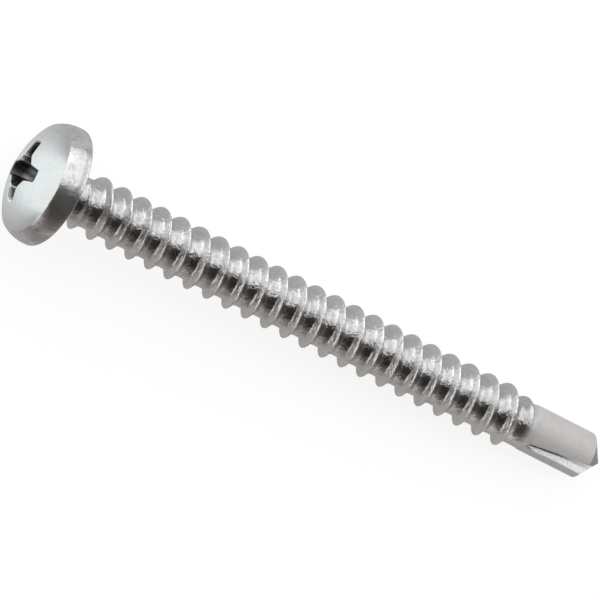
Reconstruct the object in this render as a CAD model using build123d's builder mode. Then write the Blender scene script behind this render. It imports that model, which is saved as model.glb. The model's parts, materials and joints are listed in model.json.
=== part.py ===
from build123d import *
from math import asin, atan2, cos, hypot, radians, sin, sqrt, tan
import os

# Self drilling screw with a pan head, a cross recess and a tapping thread, size ST3.5 x 38.
# It is one piece of steel: a forged head, a rolled thread and a pinched drill point.
# Lengths are in millimetres and angles in degrees. The screw is drawn upright on its own
# axis, with z = 0 at the bearing face under the head and z growing towards the point.
# At the end it is laid on its side as it comes to rest.

# Head
head_radius = 3.5
head_height = 2.4
dome_radius = 5.5
rim_radius = 3.18
side_radius = 2.06
widest_height = 0.32
bearing_edge_chamfer = 0.12
neck_chamfer = 0.55

# Cross recess, number 2: its wings narrow towards their ends, and it is punched slightly off
# the axis, within the usual limit of 0.18
recess_span = 3.6
recess_floor_span = 2.1
recess_wing_depth = 1.5
recess_floor_angle = 140.0
recess_root_width = 1.08
recess_wing_taper = 6.0
recess_core_radius = 0.98
recess_draft = 5.0
recess_turn = -2.0
recess_offset = 0.18

# Thread, right-handed
thread_pitch = 1.3
thread_turns = 24
sections_per_turn = 21
thread_radius = 1.725
root_radius = 1.3
flank_angle = 60.0
first_crest_height = 0.155
run_in_start = 0.95
run_in_length = 0.97
run_out_end = 31.55
run_out_length = 1.01

# Drill point
length = 36.6
drill_radius = 1.35
drill_start = 31.6
drill_blend = 0.25
point_angle = 102.0
lip_relief_shift = 0.05
chisel_turn = 33.0

# Flutes: the angles of the cutting edge and of the heel round the axis, and the corner
# between them, at the point and where the flute begins
flute_start = 31.2
flute_full_depth = 32.0
flute_corner_radius = 0.63
flute_shallow_radius = 0.98
flute_corner_turn = 18.0
flute_shallow_turn = 44.0
cutting_edge_turn = 11.0
shallow_edge_turn = 33.0
heel_turn = 53.0

# Room by which a cutting tool stands past the metal, and by which fused solids sink in
clear = 0.6
sink = 0.12


def dome_height(radius):
    """Height of the dome above the bearing face at this radius."""
    return head_height - dome_radius + sqrt(dome_radius**2 - radius**2)


def polar(radius, turn):
    """Point at this radius and at this angle round the axis."""
    return (radius * cos(radians(turn)), radius * sin(radians(turn)))


# Blank: head, neck, shank and drill body, turned from one half profile
bearing_radius = head_radius - side_radius + sqrt(side_radius**2 - widest_height**2)
with BuildPart() as blank:
    with BuildSketch(Plane.XZ) as half_profile:
        with BuildLine():
            ThreePointArc(
                (0, -head_height),
                (rim_radius / 2, -dome_height(rim_radius / 2)),
                (rim_radius, -dome_height(rim_radius)),
            )
            ThreePointArc(
                (rim_radius, -dome_height(rim_radius)),
                (head_radius, -widest_height),
                (bearing_radius, 0),
            )
            Polyline(
                (bearing_radius, 0),
                (root_radius, 0),
                (root_radius, drill_start),
                (drill_radius, drill_start + drill_blend),
                (drill_radius, length),
                (0, length),
                (0, -head_height),
            )
        make_face()
        bearing_edge = half_profile.vertices().sort_by_distance((bearing_radius, 0))[0]
        chamfer(bearing_edge, bearing_edge_chamfer)
        neck = half_profile.vertices().sort_by_distance((root_radius, 0))[0]
        chamfer(neck, neck_chamfer)
    revolve(axis=Axis.Z)

# Thread ridge: a sharp 60 degree section set round a right-handed helix, with flat facets from
# one section to the next. It rises out of the neck and dies away before the drill body.
base_radius = root_radius - sink


def crest_radius(height):
    """Radius of the crest at this height: full between the run-in and the run-out."""
    rise = (height - run_in_start) / run_in_length
    fall = (run_out_end - height) / run_out_length
    share = max(min(rise, fall, 1), 0)
    low = root_radius - sink / 2
    return low + share * (thread_radius - low)


with BuildPart() as ridge:
    for step in range(thread_turns * sections_per_turn + 1):
        turns = step / sections_per_turn
        height = first_crest_height + thread_pitch * turns
        crest = crest_radius(height)
        half_base = (crest - base_radius) * tan(radians(flank_angle / 2))
        outward = Vector(*polar(1, 360 * turns))
        with BuildSketch(Plane((0, 0, height), x_dir=outward, z_dir=outward.cross(Vector(0, 0, 1)))):
            with BuildLine():
                Polyline((base_radius, -half_base), (crest, 0), (base_radius, half_base), close=True)
            make_face()
    loft(ruled=True)

# Cross recess tool: four drafted wings and a round core, inside a cone that gives the wings
# their sloping ends and the recess its pointed floor
mouth_height = head_height + clear
mouth = Plane.XY.offset(-mouth_height)
wing_end_slope = (recess_span - recess_floor_span) / 2 / recess_wing_depth
surface_height = dome_height(recess_span / 2)
floor_height = surface_height - recess_wing_depth
draft_at_mouth = (mouth_height - surface_height) * tan(radians(recess_draft))
mouth_reach = recess_span / 2 + wing_end_slope * (mouth_height - surface_height)
wing_reach = mouth_reach + sink
root_half_width = recess_root_width / 2 + draft_at_mouth
end_half_width = root_half_width - wing_reach * tan(radians(recess_wing_taper))
with BuildPart() as recess:
    for turn in range(0, 360, 90):
        with BuildSketch(mouth.rotated((0, 0, recess_turn + turn))):
            with BuildLine():
                Polyline(
                    (0, -root_half_width),
                    (wing_reach, -end_half_width),
                    (wing_reach, end_half_width),
                    (0, root_half_width),
                    close=True,
                )
            make_face()
        extrude(amount=mouth_height, taper=recess_draft)
    with BuildSketch(mouth):
        Circle(recess_core_radius + draft_at_mouth)
    extrude(amount=mouth_height, taper=recess_draft)
    with BuildSketch(Plane.XZ):
        with BuildLine():
            Polyline(
                (0, -mouth_height),
                (mouth_reach, -mouth_height),
                (recess_floor_span / 2, -floor_height),
                (0, recess_floor_span / 2 / tan(radians(recess_floor_angle / 2)) - floor_height),
                close=True,
            )
        make_face()
    revolve(axis=Axis.Z, mode=Mode.INTERSECT)

# Point: each land ends in half a cone, shifted along the chisel edge so that the land falls
# away behind its cutting edge
cone_radius = drill_radius + clear
cone_height = cone_radius / tan(radians(point_angle / 2))


def land_relief(turn):
    """Half block over the end of one land, hollowed by its shifted cone."""
    with BuildPart(Plane.XY.offset(length - cone_height).rotated((0, 0, turn))) as tool:
        Box(
            2 * cone_radius,
            cone_radius,
            cone_height + clear,
            align=(Align.CENTER, Align.MAX, Align.MIN),
        )
        with Locations((lip_relief_shift, 0, 0)):
            Cone(
                cone_radius,
                0,
                cone_height,
                align=(Align.CENTER, Align.CENTER, Align.MIN),
                mode=Mode.SUBTRACT,
            )
    return tool.part


# Flutes: a V groove with its cutting face almost radial, shallow at the shank and deep at
# the point, where it leaves a web between the two grooves
arm_length = 2 * drill_radius


def flute_section(height, corner_radius, shape):
    """Wire corners of the groove at this height: its corner and a point along each wall."""
    full_radius, corner_turn, edge_turn = shape
    full_corner = Vector(*polar(full_radius, corner_turn))
    corner = Vector(*polar(corner_radius, corner_turn))
    edge_arm = (Vector(*polar(drill_radius, edge_turn)) - full_corner).normalized()
    heel_arm = (Vector(*polar(drill_radius, heel_turn)) - full_corner).normalized()
    lift = Vector(0, 0, height)
    return [lift + corner, lift + corner + edge_arm * arm_length, lift + corner + heel_arm * arm_length]


def flute(turn):
    """Cutting tool of one flute, turned round the axis."""
    shallow = (flute_shallow_radius, flute_shallow_turn, shallow_edge_turn)
    deep = (flute_corner_radius, flute_corner_turn, cutting_edge_turn)
    sections = [
        flute_section(flute_start, drill_radius + sink, shallow),
        flute_section(flute_full_depth, flute_shallow_radius, shallow),
        flute_section(length, flute_corner_radius, deep),
    ]
    with BuildPart() as tool:
        for corners in sections:
            with BuildSketch(Plane.XY.offset(corners[0].Z).rotated((0, 0, turn))):
                with BuildLine():
                    Polyline(*[(corner.X, corner.Y) for corner in corners], close=True)
                make_face()
        loft(ruled=True)
    return tool.part


with BuildPart() as upright:
    add(blank.part)
    add(ridge.part)
    with Locations((-recess_offset, 0, 0)):
        add(recess.part, mode=Mode.SUBTRACT)
    for turn in (0, 180):
        add(flute(turn), mode=Mode.SUBTRACT)
        add(land_relief(chisel_turn + turn), mode=Mode.SUBTRACT)

# Rest: the screw lies on the round side of its head and on the last full crest below it,
# so its axis dips towards the point
full_thread_end = run_out_end - run_out_length
turns_to_last_crest = int((full_thread_end - first_crest_height) / thread_pitch - 0.5) + 0.5
last_crest_height = first_crest_height + thread_pitch * turns_to_last_crest
crest_rise = thread_radius - (head_radius - side_radius)
crest_distance = last_crest_height + widest_height
rest_dip = asin(side_radius / hypot(crest_distance, crest_rise)) - atan2(crest_rise, crest_distance)
resting = Plane(
    (0, 0, 0),
    x_dir=(sin(rest_dip), 0, cos(rest_dip)),
    z_dir=(cos(rest_dip), 0, -sin(rest_dip)),
)
with BuildPart() as screw:
    add(resting.from_local_coords(upright.part))
screw.part.label = "screw"

os.makedirs("parts", exist_ok=True)
export_step(screw.part, "parts/screw.step")
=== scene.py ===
"""Dresses the packed self drilling screw: its rolled thread, forged head, pinched point and zinc plate.

The screw is one surface. Its rows run from the middle of the recess over the dome, the rim and
the bearing face, down the thread and round the flutes to the tip, and its columns run round it.
"""

import json

import bmesh
import bpy
import numpy as np
from bpy.props import FloatProperty, FloatVectorProperty, IntProperty, PointerProperty
from mathutils import Matrix, Vector


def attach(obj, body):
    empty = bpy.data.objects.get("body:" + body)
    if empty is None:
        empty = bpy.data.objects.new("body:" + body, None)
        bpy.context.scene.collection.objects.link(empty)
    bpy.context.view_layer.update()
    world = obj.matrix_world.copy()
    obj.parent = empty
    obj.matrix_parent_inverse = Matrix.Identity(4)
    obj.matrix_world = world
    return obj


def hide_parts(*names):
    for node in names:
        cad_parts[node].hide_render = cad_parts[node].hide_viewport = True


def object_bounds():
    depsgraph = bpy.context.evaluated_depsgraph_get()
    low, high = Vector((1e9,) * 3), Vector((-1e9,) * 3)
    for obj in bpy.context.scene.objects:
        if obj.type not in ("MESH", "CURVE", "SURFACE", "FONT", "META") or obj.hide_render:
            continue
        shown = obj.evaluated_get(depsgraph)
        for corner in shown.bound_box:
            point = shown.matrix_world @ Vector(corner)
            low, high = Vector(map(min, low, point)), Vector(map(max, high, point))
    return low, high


bl_info = {
    "name": "Self drilling screw",
    "version": (1, 0, 0),
    "blender": (4, 5, 0),
    "location": "3D View > Sidebar > Screw",
    "description": "Models a pan head self drilling screw in zinc plated steel",
    "category": "Add Mesh",
}

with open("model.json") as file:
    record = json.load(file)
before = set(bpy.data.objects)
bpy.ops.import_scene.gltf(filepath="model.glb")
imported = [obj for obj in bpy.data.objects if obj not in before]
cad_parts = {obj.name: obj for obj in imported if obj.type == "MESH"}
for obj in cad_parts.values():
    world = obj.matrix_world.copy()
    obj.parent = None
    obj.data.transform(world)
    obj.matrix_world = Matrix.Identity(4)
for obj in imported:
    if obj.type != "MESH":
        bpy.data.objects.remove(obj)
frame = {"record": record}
CAD_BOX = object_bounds()
MILLIMETRE = 0.001
WELD_DISTANCE = 1e-7
BUMP_HEIGHT = 0.02 * MILLIMETRE


def mount(name):
    """The packed record's mount of this name."""
    return next(m for m in frame["record"]["mounts"] if m["name"] == name)


# The screw's own axes as it lies: z from the head to the point, x straight up from it, y level.
AXIS = Vector(mount("bearing_face")["axis"]).normalized()
LEVEL = Vector((0, -1, 0))
UPWARD = LEVEL.cross(AXIS)
CAD_LOW, CAD_HIGH = (Vector(corner) for corner in CAD_BOX)


# Sizes that a user would change


def length(name, description, default):
    """A length property, with its default given in millimetres."""
    return FloatProperty(
        name=name,
        description=description,
        default=default * MILLIMETRE,
        min=0,
        precision=5,
        unit="LENGTH",
        subtype="DISTANCE",
    )


def angle(name, description, default):
    """An angle property, with its default given in degrees."""
    return FloatProperty(
        name=name,
        description=description,
        default=np.radians(default),
        unit="ROTATION",
        subtype="ANGLE",
    )


def share(name, description, default):
    """A property between 0 and 1."""
    return FloatProperty(name=name, description=description, default=default, min=0, max=1, subtype="FACTOR")


def colour(name, description, default):
    """A colour property."""
    return FloatVectorProperty(
        name=name, description=description, default=default, size=3, min=0, max=1, subtype="COLOR"
    )


class HeadSizes(bpy.types.PropertyGroup):
    """Sizes of the pan head and of the cross recess in it."""

    radius: length("Radius", "Widest radius of the head", 3.5)
    height: length("Height", "Height of the dome over the bearing face", 2.4)
    dome_radius: length("Dome radius", "Radius of the sphere that the dome is cut from", 5.5)
    rim_radius: length("Rim radius", "Radius where the dome meets the side", 3.18)
    side_radius: length("Side radius", "Radius of the rounded side", 2.06)
    widest_height: length("Widest height", "Height of the widest place over the bearing face", 0.32)
    rim_round: length("Rim rounding", "Rounding where the dome meets the side, to each side", 0.09)
    mouth_round: length("Mouth rounding", "Rounding of the recess's edge, to each side", 0.07)
    edge_radius: length("Edge radius", "Rounding of the edge of the bearing face", 0.16)
    neck_radius: length("Neck radius", "Rounding between the bearing face and the shank", 0.55)
    recess_span: length("Recess span", "Recess from wing to wing at the surface", 3.6)
    recess_floor_span: length("Recess floor span", "Recess from wing to wing at the wings' lower ends", 2.1)
    wing_depth: length("Wing depth", "Depth of the wings", 1.5)
    wing_root: length("Wing root width", "Width of a wing at the surface, taken back to the middle", 1.08)
    wing_taper: angle("Wing taper", "Slope of a wing's sides towards its end", 6)
    core_radius: length("Core radius", "Radius of the round middle of the recess", 0.98)
    draft: angle("Draft", "Slope of the recess walls with depth", 5)
    floor_angle: angle("Floor angle", "Full angle of the pointed floor", 140)
    recess_turn: angle("Recess turn", "Turn of the recess round its middle", -2)
    recess_offset: length("Recess offset", "How far off the axis the recess is punched", 0.18)


class ThreadSizes(bpy.types.PropertyGroup):
    """Sizes of the rolled thread."""

    pitch: length("Pitch", "Height of one turn", 1.3)
    crest_radius: length("Crest radius", "Radius over the crests", 1.725)
    root_radius: length("Root radius", "Radius of the shank between the crests", 1.3)
    half_angle: angle("Half angle", "Half of the angle between the flanks", 30)
    first_crest: length("First crest", "Height of the first crest where the turn starts", 0.155)
    run_in_start: length("Run-in start", "Height where the ridge rises out of the shank", 0.95)
    run_in: length("Run-in", "Height over which the ridge rises", 0.97)
    run_out_end: length("Run-out end", "Height where the ridge has died away", 31.55)
    run_out: length("Run-out", "Height over which the ridge dies away", 1.01)
    crest_round: length("Crest rounding", "Rounding of the crest, half its flat", 0.05)
    root_round: length("Root rounding", "Rounding where the flanks meet the shank", 0.09)
    unevenness: length("Unevenness", "How far the rolled crest wanders", 0.012)


class PointSizes(bpy.types.PropertyGroup):
    """Sizes of the pinched drill point."""

    length: length("Length", "Height of the tip over the bearing face", 36.6)
    radius: length("Radius", "Radius of the drill body", 1.35)
    body_start: length("Body start", "Height where the shank widens to the drill body", 31.6)
    body_blend: length("Body blend", "Height over which it widens", 0.25)
    point_angle: angle("Point angle", "Full angle of the point", 102)
    relief: length("Relief", "Shift of each land's cone along the chisel edge", 0.05)
    chisel_turn: angle("Chisel turn", "Turn of the chisel edge round the axis", 33)
    flute_start: length("Flute start", "Height where the flutes begin", 31.2)
    flute_shallow: length("Flute shallow end", "Height where the flutes take their full shape", 32.0)
    start_corner: length("Start corner", "Radius of the flute's corner where it begins", 1.47)
    shallow_corner: length("Shallow corner", "Radius of the corner where the flute takes its shape", 0.98)
    deep_corner: length("Deep corner", "Radius of the corner at the tip", 0.63)
    shallow_corner_turn: angle("Shallow corner turn", "Turn of the corner at its shallow end", 44)
    deep_corner_turn: angle("Deep corner turn", "Turn of the corner at the tip", 18)
    shallow_edge_turn: angle("Shallow edge turn", "Turn of the cutting side at its shallow end", 33)
    deep_edge_turn: angle("Cutting edge turn", "Turn of the cutting edge at the tip", 11)
    heel_turn: angle("Heel turn", "Turn of the side across from the cutting edge", 53)
    valley_round: length("Valley rounding", "Rounding of the corner of a flute", 0.14)
    lip_round: length("Lip rounding", "Rounding of the edges of a flute", 0.02)


class MeshFineness(bpy.types.PropertyGroup):
    """How fine the surface is."""

    columns: IntProperty(
        name="Columns", description="Quads round the screw, a multiple of 16", default=176, min=32
    )


class ZincFinish(bpy.types.PropertyGroup):
    """The zinc plate."""

    bright: colour("Bright zinc", "Colour of clean bright plate", (0.9, 0.905, 0.915))
    # Besides dulling the plate in clouds, this colour paints shade into the thread's valleys
    dull: colour("Dull zinc", "Colour of slightly dulled plate", (0.68, 0.67, 0.66))
    cool: colour("Cool passivate", "Colour of the plate where the passivate shows cool", (0.86, 0.91, 0.91))
    warm: colour("Warm passivate", "Colour of the plate where the passivate shows warm", (0.89, 0.865, 0.855))
    satin: colour("Satin zinc", "Colour of the plate on the point", (0.62, 0.605, 0.595))
    tan: colour("Tan", "Colour of the warmer patches on the point", (0.575, 0.54, 0.52))
    # Painted light: this near white makes the flutes look lit
    flute: colour("Flute zinc", "Colour of the pressed plate in the flutes", (0.97, 0.975, 0.98))
    # Painted shade: this colour darkens the recess where shade falls
    recess_shade: colour("Grime", "Colour of the dark film in the recess", (0.06, 0.055, 0.05))
    scale: colour("Forging scale", "Colour of the dark patches on the forged side", (0.42, 0.385, 0.36))
    # Painted shade: this colour darkens the point's cone
    cone_shade: colour("Ground steel", "Colour of the ground point", (0.5, 0.485, 0.475))
    roughness: share("Roughness", "Roughness of the bright plate", 0.13)
    point_roughness: share("Point roughness", "Roughness of the pinched point", 0.5)
    point_chalk: share("Point chalkiness", "How far the point's plate scatters light like chalk", 0.8)


class StudioSetting(bpy.types.PropertyGroup):
    """The floor, the lamps and the camera."""

    floor: colour("Floor", "Colour of the floor", (0.82, 0.82, 0.82))
    lamp: colour("Lamp", "Colour of the lamps' light", (0.97, 0.985, 1.0))
    frame_width: length("Frame width", "Width that the camera takes in at the screw", 32.787)
    lens: FloatProperty(name="Lens", description="Focal length in millimetres", default=1400, min=1, max=5000)
    tilt: angle("Tilt", "Angle between the line of sight and the screw's axis", 65.3)
    roll: angle("Roll", "Angle by which the screw points down across the picture", 26.92)
    target_along: length("Target along", "Middle of the picture, as a height over the bearing face", 16.03)
    target_across: length("Target across", "Middle of the picture, level to the far side of the axis", 0.566)


# Curves and fields on whole arrays, in millimetres and radians, in the screw's own axes

# Steps of halving, which bring a few millimetres down to less than a nanometre
HALVINGS = 34


def values_of(group):
    """The property group's values by name, with lengths in millimetres and angles in radians."""
    values = {}
    for name in group.__annotations__:
        unit = MILLIMETRE if group.bl_rna.properties[name].unit == "LENGTH" else 1
        values[name] = getattr(group, name) / unit
    return values


def mix(start, end, part):
    """Straight blend: the start plus that part of the way to the end."""
    return start + (end - start) * part


def ease(part):
    """Three times the square less twice the cube of the part, kept between 0 and 1."""
    part = np.clip(part, 0, 1)
    return part * part * (3 - 2 * part)


def rise(value, low, high):
    """0 at low and 1 at high, eased between. Where low is the larger of the two, it falls instead."""
    return ease((value - low) / (high - low))


def soft_max(a, b, rounding):
    """Half of the sum plus the root of the squared difference and the squared rounding."""
    return (a + b + np.sqrt((a - b) ** 2 + rounding**2)) / 2


def soft_min(a, b, rounding):
    """Half of the sum less the root of the squared difference and the squared rounding."""
    return (a + b - np.sqrt((a - b) ** 2 + rounding**2)) / 2


def bend(start, corner, end, part):
    """Curve of second degree from the start towards the corner and on to the end: a blend of two blends."""
    return mix(mix(start, corner, part), mix(corner, end, part), part)


def cartesian(radius, turn):
    """x and y at this radius and turn: the radius times the turn's cosine and sine."""
    return radius * np.cos(turn), radius * np.sin(turn)


def crossing(inside, low, high):
    """Where the field inside(value) turns from positive to negative between low and high, by halving."""
    for _ in range(HALVINGS):
        middle = (low + high) / 2
        within = inside(middle) > 0
        low, high = np.where(within, middle, low), np.where(within, high, middle)
    return (low + high) / 2


def even_turns(columns):
    """Turns of the columns spaced evenly over a full circle, with the first one repeated at the end."""
    return np.linspace(0, 2 * np.pi, columns + 1)


def turns_between(knots, columns):
    """Turns of the columns gathered at knots: each knot is a column and a turn, and each stretch between
    two knots is eased, so that the columns crowd at the knots. A turn may be an array, one value to a row."""
    column = np.arange(columns + 1)
    turn = np.zeros(np.broadcast(np.zeros(columns + 1), knots[0][1]).shape)
    for (first, start), (last, end) in zip(knots, knots[1:]):
        part = np.clip((column - first) / (last - first), 0, 1)
        bent = (1 - np.cos(np.pi * part)) / 2
        here = (column >= first) & (column < last)
        turn = np.where(here, mix(start, end, bent), turn)
    return turn


# The head


class Head:
    """The recess, the dome, the side, the bearing face and the neck."""

    # Roundings in the recess: between two wings, at its round middle and at the wings' ends
    WING_BLEND = 0.04
    MIDDLE_BLEND = 0.07
    END_BLEND = 0.05
    # A radius outside every outline of the recess, and the height of the walls' foot over the floor
    OUTSIDE = 2.6
    WALL_FOOT = 0.12
    # Of this many columns to a quarter turn, those between two wings, at a shoulder, at the two corners of
    # the wing and at its other shoulder
    QUARTER = 44
    WING_COLUMNS = (0, 7, 15, 29, 37)
    # How quickly the columns spread out evenly on their way over the dome
    SPREADING = 1.3
    ARC_ROWS = 20
    NECK_ROWS = 9

    def __init__(self, sizes, shank_radius):
        vars(self).update(values_of(sizes))
        self.shank_radius = shank_radius
        self.wing_end = self.recess_span / 2
        self.mouth = self.dome(self.wing_end)
        self.floor = self.mouth - self.wing_depth
        self.bottom = self.floor - self.recess_floor_span / 2 / np.tan(self.floor_angle / 2)

    def dome(self, radius):
        """Height over the bearing face: the root of the dome radius squared less the radius squared, and
        shifted so that the middle of the dome is at its height."""
        return self.height - self.dome_radius + np.sqrt(self.dome_radius**2 - radius**2)

    def half_width(self, reach):
        """Half of a wing's width at the surface: half of its width at the recess's middle less the reach from
        there times the tangent of the taper."""
        return self.wing_root / 2 - reach * np.tan(self.wing_taper)

    def recess_field(self, x, y, height):
        """Positive inside the recess at this height: the larger of its two pairs of wings and its round
        middle, all narrower with depth by the draft, and no more than the reach of the wings' ends or of
        the pointed floor. x and y are taken from the recess's middle."""
        across, along = cartesian(1, self.recess_turn)
        u, v = np.abs(x * across + y * along), np.abs(y * across - x * along)
        narrowing = (self.mouth - height) * np.tan(self.draft)
        wings = soft_max(self.half_width(v) - u, self.half_width(u) - v, self.WING_BLEND) - narrowing
        middle = self.core_radius - narrowing - np.hypot(x, y)
        slope = (self.recess_span - self.recess_floor_span) / 2 / self.wing_depth
        wing_end = self.recess_floor_span / 2 + (height - self.floor) * slope
        pointed = (height - self.bottom) * np.tan(self.floor_angle / 2)
        reach = soft_min(wing_end, pointed, self.END_BLEND)
        inside = soft_max(wings, middle, self.MIDDLE_BLEND)
        return soft_min(inside, reach - np.hypot(x, y), self.END_BLEND)

    def recess_outline(self, turn, height, outset=0.0):
        """x and y where the recess's field falls to zero at this turn and height, outwards by the outset."""

        def inside(radius):
            return self.recess_field(*cartesian(radius, turn), height) + outset

        radius = crossing(inside, np.zeros_like(turn + height), np.full_like(turn + height, self.OUTSIDE))
        x, y = cartesian(radius, turn)
        return x - self.recess_offset, y

    def recess_turns(self, columns):
        """Turns gathered at the corners of the four wings and at their shoulders on the round middle."""
        quarter = columns // 4
        corner = np.arctan(self.half_width(self.wing_end) / self.wing_end)
        shoulder = np.arcsin(self.half_width(self.core_radius) / self.core_radius)
        wing_turns = (-np.pi / 4, -shoulder, -corner, corner, shoulder)
        first = round(columns * (self.recess_turn - np.pi / 4) / (2 * np.pi))
        knots = []
        for wing in range(-1, 6):
            for column, turn in zip(self.WING_COLUMNS, wing_turns):
                place = first + wing * quarter + column * quarter / self.QUARTER
                knots.append((place, self.recess_turn + wing * np.pi / 2 + turn))
        return turns_between(knots, columns)

    def recess_rows(self, columns):
        """Rows from the pole at the pointed floor up the walls to a rounded edge on the dome."""
        turn = self.recess_turns(columns)[None, :]

        def above_dome(height, outset=0.0):
            return self.dome(np.hypot(*self.recess_outline(turn, height, outset))) - height

        mouth = crossing(above_dome, np.full_like(turn, self.floor), np.full_like(turn, self.height))
        edge = self.mouth_round
        foot = self.floor + self.WALL_FOOT
        floor_steps = np.r_[0.0, 0.03, 0.12, 0.3, 0.5, 0.66, 0.78, 0.86, 0.92, 0.97][:, None]
        wall_steps = np.r_[0.0, 0.05, 0.15, 0.35, 0.6, 0.85, 1.0][:, None]
        low = mix(self.bottom, foot, floor_steps) + np.zeros_like(turn)
        height = np.vstack([low, mix(foot, mouth - edge, wall_steps)])
        x, y = self.recess_outline(turn, height)
        x[0], y[0] = -self.recess_offset, 0
        # The edge bends from the wall round the sharp corner to the dome
        wall = (*self.recess_outline(turn, mouth - edge), mouth - edge)
        corner = (*self.recess_outline(turn, mouth), mouth)
        outer = self.recess_outline(turn, mouth, edge)
        outer = (*outer, self.dome(np.hypot(*outer)))
        part = np.r_[0.25, 0.5, 0.75, 1.0][:, None]
        curve = [bend(a, b, c, part) for a, b, c in zip(wall, corner, outer)]
        return np.vstack([x, curve[0]]), np.vstack([y, curve[1]]), -np.vstack([height, curve[2]])

    def dome_rows(self, columns, start):
        """Rows on the sphere from the recess out to the rim, while the columns spread out evenly."""
        steps = np.r_[0.03, 0.07, 0.12, 0.18, 0.25, 0.33, 0.42, 0.51, 0.6, 0.69, 0.78, 0.87, 0.94, 1.0]
        steps = steps[:, None]
        start_turn = np.unwrap(np.arctan2(start[1], start[0]))
        turn = mix(start_turn, even_turns(columns), ease(steps * self.SPREADING))
        radius = mix(np.hypot(start[0], start[1]), self.rim_radius - self.rim_round, steps)
        return *cartesian(radius, turn), -self.dome(radius)

    def side_rows(self, columns):
        """Turned rows: a rounded rim, the side as an arc, the edge of the bearing face, the face, and the
        neck as a quarter circle."""
        # The arc's middle is inside the head at the widest height
        centre = self.radius - self.side_radius
        rim = (self.rim_radius, self.dome(self.rim_radius))
        before = (self.rim_radius - self.rim_round, self.dome(self.rim_radius - self.rim_round))
        turned = self.rim_round / 2 / self.side_radius
        first = np.arcsin((rim[1] - self.widest_height) / self.side_radius) - turned
        last = self.edge_radius / 2 / self.side_radius - np.arcsin(self.widest_height / self.side_radius)
        arc = np.linspace(first, last, self.ARC_ROWS)
        side = (centre + self.side_radius * np.cos(arc), self.widest_height + self.side_radius * np.sin(arc))
        # The rim and the edge of the bearing face bend round their sharp corners
        part = np.r_[0.2, 0.4, 0.6, 0.8]
        rounded_rim = [bend(a, b, c[0], part) for a, b, c in zip(before, rim, side)]
        corner = (centre + np.sqrt(self.side_radius**2 - self.widest_height**2), 0.0)
        face = (corner[0] - self.edge_radius, 0.0)
        part = np.r_[0.15, 0.35, 0.55, 0.75, 0.9, 1.0]
        edge = [bend(a[-1], b, c, part) for a, b, c in zip(side, corner, face)]
        neck_start = self.shank_radius + self.neck_radius
        flat = mix(face[0], neck_start, np.r_[0.08, 0.3, 0.6, 0.92])
        turn = np.linspace(0, np.pi / 2, self.NECK_ROWS)
        neck = (neck_start - self.neck_radius * np.sin(turn), self.neck_radius * (np.cos(turn) - 1))
        radius = np.concatenate([rounded_rim[0], side[0], edge[0], flat, neck[0]])[:, None]
        height = np.concatenate([rounded_rim[1], side[1], edge[1], np.zeros(len(flat)), neck[1]])[:, None]
        x, y = cartesian(radius, even_turns(columns))
        return x, y, -height + np.zeros_like(x)


# The thread


class Thread:
    """The shank with its rolled ridge."""

    # Distance from the neck to the first row of the shank
    START = 0.04
    # Waves to a turn along the crest
    SLOW_WAVE = 0.37
    QUICK_WAVE = 2.3

    def __init__(self, sizes):
        vars(self).update(values_of(sizes))

    def reach(self, height):
        """Radius of the crest: it rises over the run-in, stays, and dies away over the run-out."""
        rising = (height - self.run_in_start) / self.run_in
        falling = (self.run_out_end - height) / self.run_out
        low = self.root_radius - self.root_round
        return mix(low, self.crest_radius, np.clip(np.minimum(rising, falling), -0.5, 1))

    def radius(self, turn, height):
        """The larger of the shank and the ridge. The ridge falls from its crest by the distance from the
        crest line over the tangent of the half angle, with the distance rounded to a hyperbola at the crest.
        The crest wanders with the product of two sines of different lengths."""
        lead = height - self.first_crest - self.pitch * turn / (2 * np.pi)
        off_crest = (lead + self.pitch / 2) % self.pitch - self.pitch / 2
        slant = np.sqrt(off_crest**2 + self.crest_round**2) - self.crest_round
        angle_round = height / self.pitch * 2 * np.pi
        slow = np.sin(angle_round * self.SLOW_WAVE + 1)
        quick = np.sin(angle_round * self.QUICK_WAVE + 2 * turn)
        crest = self.reach(height) + self.unevenness * (slow * quick - 1) / 2
        ridge = crest - slant / np.tan(self.half_angle)
        return soft_max(self.root_radius, ridge, self.root_round)

    def rows(self, columns, start, end):
        """Rows that follow the helix, gathered at the crest and at both roots of the ridge. Each column lies
        higher than the one before by its share of the pitch, and rows past the ends are held at the ends."""
        # Distances from the crest line: crowded at the crest and at the ridge's foot, half its width away
        half = (self.crest_radius - self.root_radius) * np.tan(self.half_angle)
        one_side = np.r_[0.022, 0.05, 0.11, half - 0.07, half - 0.02, half + 0.03, half + 0.12]
        across = np.concatenate([-one_side[::-1], [0.0], one_side[:-1], [self.pitch / 2 - 0.08]])
        turns_needed = int(np.ceil((end - start) / self.pitch)) + 2
        first = self.first_crest + self.pitch * np.floor((start - self.first_crest) / self.pitch - 1)
        crests = first + self.pitch * np.arange(turns_needed + 1)
        base = (crests[:, None] + across[None, :]).ravel()[:, None]
        turn = even_turns(columns)[None, :]
        height = np.clip(base + self.pitch * turn / (2 * np.pi), start, end)
        return *cartesian(self.radius(turn, height), turn), height


# The drill point


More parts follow.
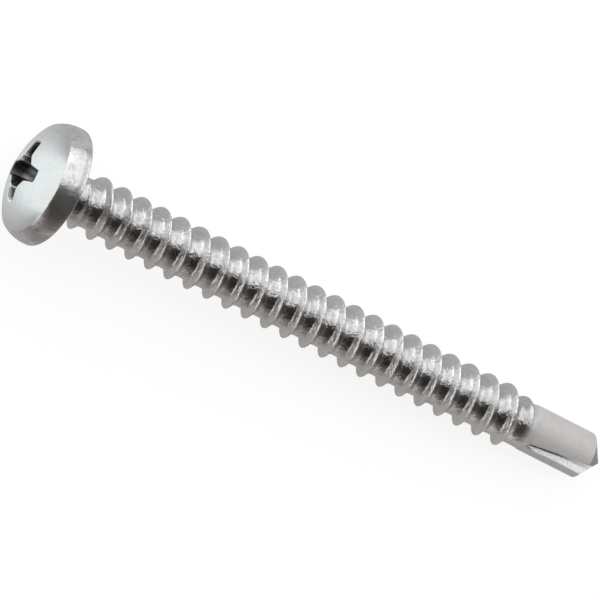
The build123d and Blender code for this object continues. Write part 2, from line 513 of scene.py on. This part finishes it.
class Point:
    """The drill body with its two flutes and its relieved point."""

    # Rows over the point, as shares of the radius at its edge
    CAP_STEPS = np.r_[0.985, 0.965, 0.93, 0.86, 0.76, 0.64, 0.5, 0.36, 0.24, 0.14, 0.07, 0.03, 0.0][:, None]
    # Rows down the drill body, as distances from its start, and rows crowded above the point's edge
    UPPER_STEPS = np.r_[0.05, 0.1, 0.2, 0.3, 0.4, 0.5, 0.62, 0.76, 0.9, 1.1, 1.4, 1.8]
    BODY_STEPS = np.r_[UPPER_STEPS, np.linspace(2.2, 3.6, 8)][:, None]
    EDGE_STEPS = np.r_[0.06, 0.03, 0.012, 0.0][:, None]
    EDGE_ROOM = 0.1
    # Radii inside and outside every outline, and the width over which the two cones blend
    INSIDE, OUTSIDE = 0.02, 1.6
    CONE_BLEND = 0.06
    # Share of the columns from a flute's valley to each of its lips, and the height over which they gather
    LIP_REACH = 26 / 176
    GATHERING = 0.6
    # The search for the point's edge: its first guess, as a distance from the tip, and its rounds
    EDGE_GUESS = 1.0
    EDGE_ROUNDS = 12

    def __init__(self, sizes, shank_radius):
        vars(self).update(values_of(sizes))
        self.shank_radius = shank_radius

    def body_radius(self, height):
        """The shank's radius eased out to the drill body's."""
        return mix(self.shank_radius, self.radius, ease((height - self.body_start) / self.body_blend))

    def flute_walls(self, height):
        """Corner of the flute and the directions of its cutting wall and its heel wall at this height. They
        are blended from where the flute begins to where it has its shape, and from there to the tip."""
        early = np.clip((height - self.flute_start) / (self.flute_shallow - self.flute_start), 0, 1)
        late = np.clip((height - self.flute_shallow) / (self.length - self.flute_shallow), 0, 1)
        corner_radius = mix(mix(self.start_corner, self.shallow_corner, early), self.deep_corner, late)
        corner = cartesian(corner_radius, mix(self.shallow_corner_turn, self.deep_corner_turn, late))

        def wall(corner_radius, corner_turn, lip_turn):
            arm = np.subtract(cartesian(self.radius, lip_turn), cartesian(corner_radius, corner_turn))
            return arm / np.linalg.norm(arm)

        walls = []
        for lip_turns in ((self.shallow_edge_turn, self.deep_edge_turn), (self.heel_turn, self.heel_turn)):
            shallow = wall(self.shallow_corner, self.shallow_corner_turn, lip_turns[0])
            deep = wall(self.deep_corner, self.deep_corner_turn, lip_turns[1])
            direction = [mix(start, end, late) for start, end in zip(shallow, deep)]
            walls.append([part / np.hypot(*direction) for part in direction])
        return corner, walls

    def lips(self, height):
        """Turns where the two walls come out of the drill body: the way along a wall from the corner is the
        positive root of the quadratic for the body's circle."""
        corner, walls = self.flute_walls(height)
        turns = []
        for arm in walls:
            along = corner[0] * arm[0] + corner[1] * arm[1]
            square = along**2 - corner[0] ** 2 - corner[1] ** 2 + self.body_radius(height) ** 2
            way = -along + np.sqrt(np.maximum(square, 0))
            turns.append(np.arctan2(corner[1] + way * arm[1], corner[0] + way * arm[0]))
        return turns

    def metal(self, x, y, height):
        """Positive inside the metal: inside the body and outside both flutes, where a flute is all that lies
        beyond its two walls at once, with its valley and its lips rounded."""
        inside = self.body_radius(height) - np.hypot(x, y)
        corner, (edge, heel) = self.flute_walls(height)
        for sign in (1, -1):
            u, v = sign * x - corner[0], sign * y - corner[1]
            before_edge = u * edge[1] - v * edge[0]
            past_heel = v * heel[0] - u * heel[1]
            outside = soft_max(before_edge, past_heel, self.valley_round)
            inside = soft_min(inside, outside, self.lip_round)
        return inside

    def outline(self, turn, height):
        """Radius where the metal's field falls to zero at this turn and height."""

        def inside(radius):
            return self.metal(*cartesian(radius, turn), height)

        low, high = (np.full_like(turn + height, radius) for radius in (self.INSIDE, self.OUTSIDE))
        return crossing(inside, low, high)

    def point_height(self, x, y):
        """Two cones, one to each side of the chisel edge, shifted opposite ways along it and blended across
        it: the length less the distance from the cone's tip over the tangent of the half angle."""
        along, across = cartesian(1, self.chisel_turn)
        u, v = x * along + y * across, y * along - x * across
        fall = 1 / np.tan(self.point_angle / 2)
        near = self.length - fall * np.hypot(u - self.relief, v)
        far = self.length - fall * np.hypot(u + self.relief, v)
        return mix(near, far, ease(v / self.CONE_BLEND + 0.5))

    def column_turns(self, columns, height):
        """Turns of the columns: even where the drill body starts, and gathered at lips and valleys below."""
        edge, heel = self.lips(height)
        corner, _ = self.flute_walls(height)
        valley = np.arctan2(corner[1], corner[0])
        half = columns // 2
        middle = round(columns * self.chisel_turn / (2 * np.pi))
        reach = round(columns * self.LIP_REACH)
        knots = []
        for side in range(-1, 3):
            shift = side * np.pi
            place = middle + side * half
            knots += [(place - reach, edge + shift), (place, valley + shift), (place + reach, heel + shift)]
        gathered = ease((height - self.body_start) / self.GATHERING)
        return mix(even_turns(columns)[None, :], turns_between(knots, columns), gathered)

    def rows(self, columns, start):
        """Rows down the drill body to where each column meets the point, then over the point to the tip. The
        meeting is found by taking the body's outline and the point's height there in turn."""
        end = np.full((1, columns + 1), self.length - self.EDGE_GUESS)
        for _ in range(self.EDGE_ROUNDS):
            turn = self.column_turns(columns, end)
            radius = self.outline(turn, end)
            end = self.point_height(*cartesian(radius, turn))
        heights = np.minimum(start + self.BODY_STEPS, end - self.EDGE_ROOM)
        heights = np.vstack([heights, end - self.EDGE_STEPS])
        turns = self.column_turns(columns, heights)
        radii = self.outline(turns, heights)
        cap_radii = radius * self.CAP_STEPS
        cap_turns = np.broadcast_to(turn, cap_radii.shape)
        cap_heights = self.point_height(*cartesian(cap_radii, cap_turns))
        radii, turns = np.vstack([radii, cap_radii]), np.vstack([turns, cap_turns])
        return *cartesian(radii, turns), np.vstack([heights, cap_heights])


# Meshes


def finish_masks(head, thread, point, x, y, height, recess_rows):
    """How far each finish, painted shade and painted light shows, from 0 to 1, at these places along the
    screw's own axes. The first recess_rows rows are the recess."""
    radius = np.hypot(x, y)
    body = point.body_start
    on_thread = rise(height, 0.6, 1.1) * rise(height, body + 0.2, body - 0.3)
    relief = (radius - thread.root_radius) / (thread.crest_radius - thread.root_radius)
    tapered = np.zeros_like(height)
    tapered[-len(point.CAP_STEPS) :] = 1
    # A flute's surface lies under the drill body's, and from its corner's turn on it is the heel wall
    depth = point.body_radius(height) - radius
    grooved = rise(depth, 0, 0.08) * (height > body) * (1 - tapered)
    corner, _ = point.flute_walls(height)
    on_heel = np.arctan2(y, x) % np.pi > np.arctan2(corner[1], corner[0])
    # Painted shade in the recess: darkest round its middle and in the lower wing, thinning out to the near
    # wing
    shaded_recess = np.zeros_like(height)
    shaded_recess[:recess_rows] = rise(height[:recess_rows], -head.mouth - 0.22, -head.mouth + 0.18)
    lower_wing = (x < 0) * mix(0.5, 1.0, rise(height, -1.2, -1.5))
    shaded_recess *= rise(y, 1.1, 0.4) * np.maximum(rise(np.abs(x), 1.1, 0.5), lower_wing)
    return {
        "threaded": on_thread,
        "relief": np.clip(relief, 0, 1) * on_thread,
        "matte": rise(height, body - 0.65, body + 0.25),
        "tapered": tapered,
        "shaded_recess": shaded_recess,
        "forged": rise(radius, head.radius - 0.4, head.radius - 0.25) * rise(height, -1.5, -1.3),
        "grooved": grooved,
        "burnished": grooved * on_heel * rise(depth, 0.5, 0.35),
    }


def in_scene(name, data):
    """A new object of this name in the scene, with this mesh, lamp or camera."""
    thing = bpy.data.objects.new(name, data)
    bpy.context.scene.collection.objects.link(thing)
    return thing


def laid(x, y, height):
    """Places in metres, as the screw lies: x times upward, plus y times level, plus height times the axis."""
    own = np.stack([x, y, height], axis=-1) * MILLIMETRE
    return own @ np.array([UPWARD, LEVEL, AXIS])


def surface(name, places, masks):
    """An object of quads between neighbouring rows and columns. Rows that shrink to a point or to one ring
    and the seam where the columns close are welded. masks are numbers to keep with each place."""
    rows, columns = places.shape[:2]
    index = np.arange(rows * columns).reshape(rows, columns)
    quads = np.stack([index[:-1, :-1], index[:-1, 1:], index[1:, 1:], index[1:, :-1]], axis=-1).reshape(-1, 4)
    mesh = bpy.data.meshes.new(name)
    mesh.vertices.add(rows * columns)
    mesh.vertices.foreach_set("co", places.reshape(-1).astype(np.float32))
    mesh.loops.add(quads.size)
    mesh.loops.foreach_set("vertex_index", quads.reshape(-1).astype(np.int32))
    mesh.polygons.add(len(quads))
    mesh.polygons.foreach_set("loop_start", np.arange(0, quads.size, 4, dtype=np.int32))
    mesh.update(calc_edges=True)
    for mask, values in masks.items():
        layer = mesh.attributes.new(mask, "FLOAT", "POINT")
        layer.data.foreach_set("value", values.reshape(-1).astype(np.float32))
    shell = bmesh.new()
    shell.from_mesh(mesh)
    bmesh.ops.remove_doubles(shell, verts=shell.verts, dist=WELD_DISTANCE)
    bmesh.ops.recalc_face_normals(shell, faces=shell.faces)
    if shell.calc_volume(signed=True) < 0:
        bmesh.ops.reverse_faces(shell, faces=shell.faces)
    shell.to_mesh(mesh)
    shell.free()
    mesh.shade_smooth()
    return in_scene(name, mesh)


# Shader maths


class Wire:
    """A shader socket that takes part in Python sums: each operator adds a Math node."""

    def __init__(self, shader, socket):
        self.shader, self.socket = shader, socket

    def math(self, operation, *others):
        """A Math node of this operation on the socket and the others."""
        values = dict(enumerate((self, *others)))
        return self.shader.node("ShaderNodeMath", {"operation": operation}, values)

    def __add__(self, other):
        return self.math("ADD", other)

    def __sub__(self, other):
        return self.math("SUBTRACT", other)

    def __mul__(self, other):
        return self.math("MULTIPLY", other)

    def __rsub__(self, other):
        return self.shader.node("ShaderNodeMath", {"operation": "SUBTRACT"}, {0: other, 1: self})

    __radd__ = __add__
    __rmul__ = __mul__

    def rise(self, low, high):
        """0 below low and 1 above high, eased between."""
        settings = {"interpolation_type": "SMOOTHSTEP"}
        values = {"Value": self, "From Min": low, "From Max": high}
        return self.shader.node("ShaderNodeMapRange", settings, values)


class Shader:
    """The node tree of a material or a world."""

    def __init__(self, owner):
        owner.use_nodes = True
        self.tree = owner.node_tree
        self.tree.nodes.clear()

    def node(self, kind, settings=None, values=None, output=0):
        """Adds a node of this kind, makes its settings, sets or links its sockets, and gives one output.
        A colour is three numbers."""
        node = self.tree.nodes.new(kind)
        for name, setting in (settings or {}).items():
            setattr(node, name, setting)
        for name, value in (values or {}).items():
            socket = node.inputs[name]
            if isinstance(value, Wire):
                self.tree.links.new(value.socket, socket)
            elif socket.type == "RGBA":
                socket.default_value = (*value, 1)
            else:
                socket.default_value = value
        return Wire(self, node.outputs[output]) if node.outputs else None

    def mix_colour(self, first, second, factor):
        """The first colour blended into the second by the factor."""
        return self.node("ShaderNodeMix", {"data_type": "RGBA"}, {0: factor, 6: first, 7: second}, 2)

    def noise(self, place, scale, detail=2.0, roughness=0.5, distortion=0.0):
        """Noise between 0 and 1 at this place."""
        names = ("Vector", "Scale", "Detail", "Roughness", "Distortion")
        values = dict(zip(names, (place, scale, detail, roughness, distortion)))
        return self.node("ShaderNodeTexNoise", {}, values)


def own_place(shader):
    """Object coordinates turned to the screw's own axes, in millimetres."""
    turned = Matrix((UPWARD, LEVEL, AXIS)).to_euler()
    place = shader.node("ShaderNodeTexCoord", output="Object")
    values = {"Vector": place, "Rotation": turned, "Scale": (1 / MILLIMETRE,) * 3}
    return shader.node("ShaderNodeMapping", {"vector_type": "POINT"}, values)


def zinc_plate(finish):
    """Bright zinc: cloudy in tone, uneven on the rolled thread with painted shade in its valleys, dull on the
    head's forged side, satin with warm patches on the point and painted shade on its cone, with painted light
    in the flutes and painted shade deep in the recess."""
    material = bpy.data.materials.new("zinc_plate")
    shader = Shader(material)
    place = own_place(shader)

    def mask(name):
        return shader.node("ShaderNodeAttribute", {"attribute_name": name}, output="Fac")

    threaded, relief, forged, shaded_recess = (mask(name) for name in ("threaded", "relief", "forged", "shaded_recess"))
    matte, tapered, grooved, burnished = (mask(name) for name in ("matte", "tapered", "grooved", "burnished"))
    # Noises, with their scale in waves to a millimetre, from the widest to the finest
    film = shader.noise(place, scale=0.32, distortion=0.6)
    clouds = shader.noise(place, scale=0.55, detail=4, roughness=0.55)
    blotches = shader.noise(place, scale=2.4, detail=3, roughness=0.6, distortion=0.8)
    mottle = shader.noise(place, scale=4.5, detail=3, roughness=0.6)
    dents = shader.noise(place, scale=7.0, roughness=0.55, distortion=0.4)
    grain = shader.noise(place, scale=30.0, roughness=0.6)
    values = {"Vector": place, "Scale": (22, 5, 22), "Rotation": (0.4, 0.2, 0.5)}
    streaks = shader.noise(shader.node("ShaderNodeMapping", {}, values), scale=1.0, detail=3)

    # Colour: passivate in cool and warm films, dulled in clouds, painted shade in the thread's valleys, then
    # each
    #     # finish, with painted light in the flutes and painted shade on the point's cone and in the recess
    dulling_and_valley_shade = clouds.rise(0.4, 0.75) * 0.25 + mottle.rise(0.4, 0.75) * 0.2 + blotches.rise(0.35, 0.75) * 0.2
    # Painted shade: the thread's valleys are darkened towards the dull colour, broken up by the dents
    valley = (1 - relief) * threaded
    dulling_and_valley_shade = (dulling_and_valley_shade + valley * dents * 0.9).rise(0.0, 1.1)
    point = shader.mix_colour(finish.satin, finish.tan, blotches.rise(0.35, 0.7))
    base = finish.bright
    for tone, amount in (
        (finish.cool, film.rise(0.5, 0.7) * (1 - threaded)),
        (finish.warm, (1 - film).rise(0.5, 0.7) * 0.6),
        (finish.dull, dulling_and_valley_shade),
        (finish.scale, forged * blotches.rise(0.42, 0.7) * 0.4),
        (point, matte),
        # Painted shade darkens the point's cone
        (finish.cone_shade, tapered),
        # Painted light: the flutes are made near white to look lit
        (finish.flute, grooved),
        # Painted shade darkens the recess
        (finish.recess_shade, shaded_recess * 0.95),
    ):
        base = shader.mix_colour(base, tone, amount)

    # Chalkiness: on the point, less on its cone and hardly any on the pressed heel walls of the flutes
    chalky = matte * (1 + grooved * 0.3 - burnished * 1.2) * (1 - tapered * 0.4)
    metallic = 1 - chalky * finish.point_chalk - forged * 0.06
    rough = finish.roughness + mottle * 0.06 + streaks * 0.04 + threaded * dents * 0.1 + forged * 0.07
    rough = rough + chalky * (finish.point_roughness - finish.roughness) + shaded_recess * 0.15

    # Bumps: pits everywhere, and wider dents and blotches on the thread and the forged side
    pits = mottle.rise(0.3, 0.7) * 0.5 + grain * 0.2 + streaks * 0.12
    height = pits * (0.45 + matte * 0.6 + threaded * 0.9)
    height = height + (threaded * 3.0 + forged * 0.7) * dents + (threaded * 9.0 + forged * 2.4) * blotches
    values = {"Height": height, "Strength": 0.3, "Distance": BUMP_HEIGHT}
    normal = shader.node("ShaderNodeBump", {}, values)
    values = {"Base Color": base, "Metallic": metallic, "Roughness": rough, "Normal": normal}
    plate = shader.node("ShaderNodeBsdfPrincipled", {}, values)
    shader.node("ShaderNodeOutputMaterial", {}, {"Surface": plate})
    return material


# Operators


class SCREW_OT_screw(bpy.types.Operator):
    """Model the screw in zinc plate and let it stand for the packed solid"""

    bl_idname = "screw.screw"
    bl_label = "Make the screw"

    def execute(self, context):
        scene = context.scene
        columns = scene.screw_fineness.columns
        thread = Thread(scene.screw_thread)
        head = Head(scene.screw_head, thread.root_radius)
        point = Point(scene.screw_point, thread.root_radius)
        recess = head.recess_rows(columns)
        dome = head.dome_rows(columns, [part[-1:] for part in recess])
        side = head.side_rows(columns)
        shank = thread.rows(columns, head.neck_radius + Thread.START, thread.run_out_end)
        tip = point.rows(columns, thread.run_out_end)
        places = [np.vstack(part) for part in zip(recess, dome, side, shank, tip)]
        masks = finish_masks(head, thread, point, *places, recess_rows=len(recess[0]))
        piece = surface("zinc_screw", laid(*places), masks)
        piece.data.materials.append(zinc_plate(scene.screw_finish))
        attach(piece, "root")
        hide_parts("screw")
        return {"FINISHED"}


def standing(across, up, back, place):
    """The matrix of an object at this place whose own x, y and z point across, up and back."""
    turned = Matrix((across, up, back)).transposed().to_4x4()
    turned.translation = place
    return turned


def softbox(name, middle, back, size, tint):
    """A rectangular lamp of radiance 1 that shines away from its back, with its width along the screw. Its
    power is pi times its area. Lengths are in metres."""
    lamp = bpy.data.lights.new(name, "AREA")
    lamp.shape = "RECTANGLE"
    lamp.color = tint
    lamp.size, lamp.size_y = size
    lamp.energy = np.pi * size[0] * size[1]
    across = back.cross(AXIS).normalized()
    in_scene(name, lamp).matrix_world = standing(across.cross(back), across, back, middle)


class SCREW_OT_stage(bpy.types.Operator):
    """Lay the floor, hang the lamps and set the camera"""

    bl_idname = "screw.stage"
    bl_label = "Set the stage"

    FLOOR_HALF = 1.5
    # Painted reflections: tones that the floor shows only in the metal, along the screw, on its far side, on
    #     # its near side, by the flutes, past the tip, and by the head near its middle and off it
    LINE_TONE = (0.42, 0.4, 0.375)
    FAR_TONE = (0.42, 0.425, 0.435)
    NEAR_TONE = (0.17, 0.152, 0.14)
    FLUTE_TONE = (0.7, 0.68, 0.66)
    TIP_TONE = (0.16, 0.155, 0.15)
    HEAD_TONE = (0.82, 0.87, 0.865)
    HEAD_SIDE_TONE = (0.36, 0.355, 0.36)
    # How far that painted reflection is lit by the lamps, and how far it glows by itself as painted light
    PAPER_LIT, PAPER_GLOW = 0.35, 0.8
    # The floor that the camera sees: a grey that takes the shadow, and a glow that fills it up to white
    SHADOW_GREY = (0.24, 0.24, 0.24)
    WHITE_GLOW = 0.82
    # Lamps: their turn to the far side, their distance, and their names, places along the screw and sizes
    LAMP_TURN = np.radians(49)
    LAMP_DISTANCE = 0.6
    LAMPS = (("point_softbox", 0.75, (0.9, 0.85)), ("head_softbox", -0.32, (1.1, 0.85)))
    # Tones of the room: the ceiling, the horizon and the pale strip are painted reflections that only the
    # metal shows, and the grey is the light that the room gives
    CEILING = (0.013, 0.009, 0.007)
    HORIZON = (0.25, 0.22, 0.195)
    PALE_STRIP = (0.95, 0.92, 0.88)
    ROOM_GREY = (0.5, 0.5, 0.5)

    def execute(self, context):
        setting = context.scene.screw_studio
        self.lay_floor(setting)
        self.hang_lamps(setting)
        self.light_room(context.scene)
        self.set_camera(context.scene, setting)
        context.scene.view_settings.view_transform = "Standard"
        return {"FINISHED"}

    def lay_floor(self, setting):
        """A wide floor that shows white to the eye and keeps the shadow. In the metal it shows a painted
        reflection
        instead: pale by the head and by the flutes, grey along the screw, and darker on the near side and
        past the tip."""
        half, level = self.FLOOR_HALF, CAD_LOW.z
        mesh = bpy.data.meshes.new("floor")
        corners = [(-half, -half, level), (half, -half, level), (half, half, level), (-half, half, level)]
        mesh.from_pydata(corners, [], [(0, 1, 2, 3)])
        floor = in_scene("floor", mesh)
        material = bpy.data.materials.new("floor_paper")
        shader = Shader(material)
        # Distances on the floor are in metres from the middle of the bearing face
        place = shader.node("ShaderNodeTexCoord", output="Object")
        along = shader.node("ShaderNodeSeparateXYZ", {}, {0: place}, "X")
        across = shader.node("ShaderNodeSeparateXYZ", {}, {0: place}, "Y")
        # Painted reflection: regions of the floor that only the metal sees, each in its own tone
        off_head = across.math("ABSOLUTE") + along * 0.5
        by_head = (0 - along).rise(-0.006, 0.008) * (1 - off_head.rise(0.003, 0.03))
        by_flutes = along.rise(0.033, 0.037) * (0 - across).rise(0.001, 0.006)
        past_tip = along.rise(0.0365, 0.0395) * across.rise(-0.006, -0.001)
        head_tone = shader.mix_colour(self.HEAD_TONE, self.HEAD_SIDE_TONE, off_head.rise(-0.002, 0.0056))
        tone = self.LINE_TONE
        for other, amount in (
            (self.FAR_TONE, across.rise(-0.004, 0.012)),
            (self.NEAR_TONE, (0 - across).rise(0.0015, 0.02)),
            (self.FLUTE_TONE, by_flutes),
            (self.TIP_TONE, past_tip),
            (head_tone, by_head),
        ):
            tone = shader.mix_colour(tone, other, amount)
        lit = shader.mix_colour((0, 0, 0), tone, self.PAPER_LIT)
        painted_reflection = self.glowing(shader, lit, tone, self.PAPER_GLOW)
        shown = self.glowing(shader, self.SHADOW_GREY, (1, 1, 1), self.WHITE_GLOW)
        paper = shader.node("ShaderNodeBsdfDiffuse", {}, {"Color": setting.floor})
        seen = shader.node("ShaderNodeLightPath", output="Is Camera Ray")
        mirrored = shader.node("ShaderNodeLightPath", output="Is Glossy Ray")
        both = shader.node("ShaderNodeMixShader", {}, {0: mirrored, 1: paper, 2: painted_reflection})
        both = shader.node("ShaderNodeMixShader", {}, {0: seen, 1: both, 2: shown})
        shader.node("ShaderNodeOutputMaterial", {}, {"Surface": both})
        mesh.materials.append(material)

    def glowing(self, shader, colour_lit, colour_glow, strength):
        """A surface that is lit in one colour and glows in another by this strength."""
        lit = shader.node("ShaderNodeBsdfDiffuse", {}, {"Color": colour_lit})
        glow = shader.node("ShaderNodeEmission", {}, {"Color": colour_glow, "Strength": strength})
        return shader.node("ShaderNodeAddShader", {}, {0: lit, 1: glow})

    def hang_lamps(self, setting):
        """Two broad softboxes side by side over the far side, with a narrow gap between them."""
        towards = UPWARD * np.cos(self.LAMP_TURN) - LEVEL * np.sin(self.LAMP_TURN)
        middle = (CAD_LOW + CAD_HIGH) / 2 + towards * self.LAMP_DISTANCE
        for name, along, size in self.LAMPS:
            softbox(name, middle + AXIS * along, towards.normalized(), size, setting.lamp)

    def light_room(self, scene):
        """A plain room, white to the eye, that lights the screw in an even grey. In the metal it shows a
        painted
        reflection instead: a dark ceiling that pales towards the floor, with a pale strip low behind the
        head."""
        world = bpy.data.worlds.new("room")
        scene.world = world
        shader = Shader(world)
        direction = shader.node("ShaderNodeTexCoord", output="Generated")
        to_head = 0 - shader.node("ShaderNodeSeparateXYZ", {}, {0: direction}, "X")
        height = shader.node("ShaderNodeSeparateXYZ", {}, {0: direction}, "Z")
        # Painted reflection: the room that only the metal shows
        studio = shader.mix_colour(self.CEILING, self.HORIZON, 1 - height.rise(-0.12, 0.74))
        pale = to_head.rise(0.1, 0.6) * (1 - height.rise(0.25, 0.62))
        studio = shader.mix_colour(studio, self.PALE_STRIP, pale)
        mirrored = shader.node("ShaderNodeLightPath", output="Is Glossy Ray")
        seen = shader.node("ShaderNodeLightPath", output="Is Camera Ray")
        shown = shader.mix_colour(self.ROOM_GREY, studio, mirrored)
        shown = shader.mix_colour(shown, (1, 1, 1), seen)
        background = shader.node("ShaderNodeBackground", {}, {"Color": shown, "Strength": 1.0})
        shader.node("ShaderNodeOutputWorld", {}, {"Surface": background})

    def set_camera(self, scene, setting):
        """A long lens in the screw's upright plane, tilted off its axis and rolled across the picture. Its
        distance is the width it takes in times the lens over the sensor's width."""
        sight = UPWARD * np.sin(setting.tilt) - AXIS * np.cos(setting.tilt)
        along = UPWARD * np.cos(setting.tilt) + AXIS * np.sin(setting.tilt)
        right = along * np.cos(setting.roll) - LEVEL * np.sin(setting.roll)
        down = along * np.sin(setting.roll) + LEVEL * np.cos(setting.roll)
        lens = bpy.data.cameras.new("camera")
        lens.lens = setting.lens
        distance = setting.frame_width * setting.lens / lens.sensor_width
        lens.clip_start, lens.clip_end = distance * 0.5, distance * 2
        target = AXIS * setting.target_along - LEVEL * setting.target_across
        camera = in_scene("camera", lens)
        camera.matrix_world = standing(right, -down, sight, target + sight * distance)
        scene.camera = camera


class SCREW_PT_panel(bpy.types.Panel):
    """Lists the operators and their sizes"""

    bl_label = "Self drilling screw"
    bl_idname = "SCREW_PT_panel"
    bl_space_type = "VIEW_3D"
    bl_region_type = "UI"
    bl_category = "Screw"

    def draw(self, context):
        for operator in OPERATORS:
            self.layout.operator(operator.bl_idname)
        for name, group in GROUPS.items():
            box = self.layout.box()
            box.label(text=group.__doc__)
            for prop in group.__annotations__:
                box.prop(getattr(context.scene, name), prop)


GROUPS = {
    "screw_head": HeadSizes,
    "screw_thread": ThreadSizes,
    "screw_point": PointSizes,
    "screw_fineness": MeshFineness,
    "screw_finish": ZincFinish,
    "screw_studio": StudioSetting,
}
OPERATORS = (SCREW_OT_screw, SCREW_OT_stage)


def register():
    """Registers the classes and gives the scene its property groups."""
    for name, group in GROUPS.items():
        bpy.utils.register_class(group)
        setattr(bpy.types.Scene, name, PointerProperty(type=group))
    for kind in (*OPERATORS, SCREW_PT_panel):
        bpy.utils.register_class(kind)


def unregister():
    """Takes the classes and the property groups out again."""
    for kind in (SCREW_PT_panel, *reversed(OPERATORS)):
        bpy.utils.unregister_class(kind)
    for name, group in reversed(GROUPS.items()):
        delattr(bpy.types.Scene, name)
        bpy.utils.unregister_class(group)


def main():
    """Registers the classes, then makes the screw and its stage."""
    register()
    bpy.ops.screw.screw()
    bpy.ops.screw.stage()


if __name__ == "__main__":
    main()
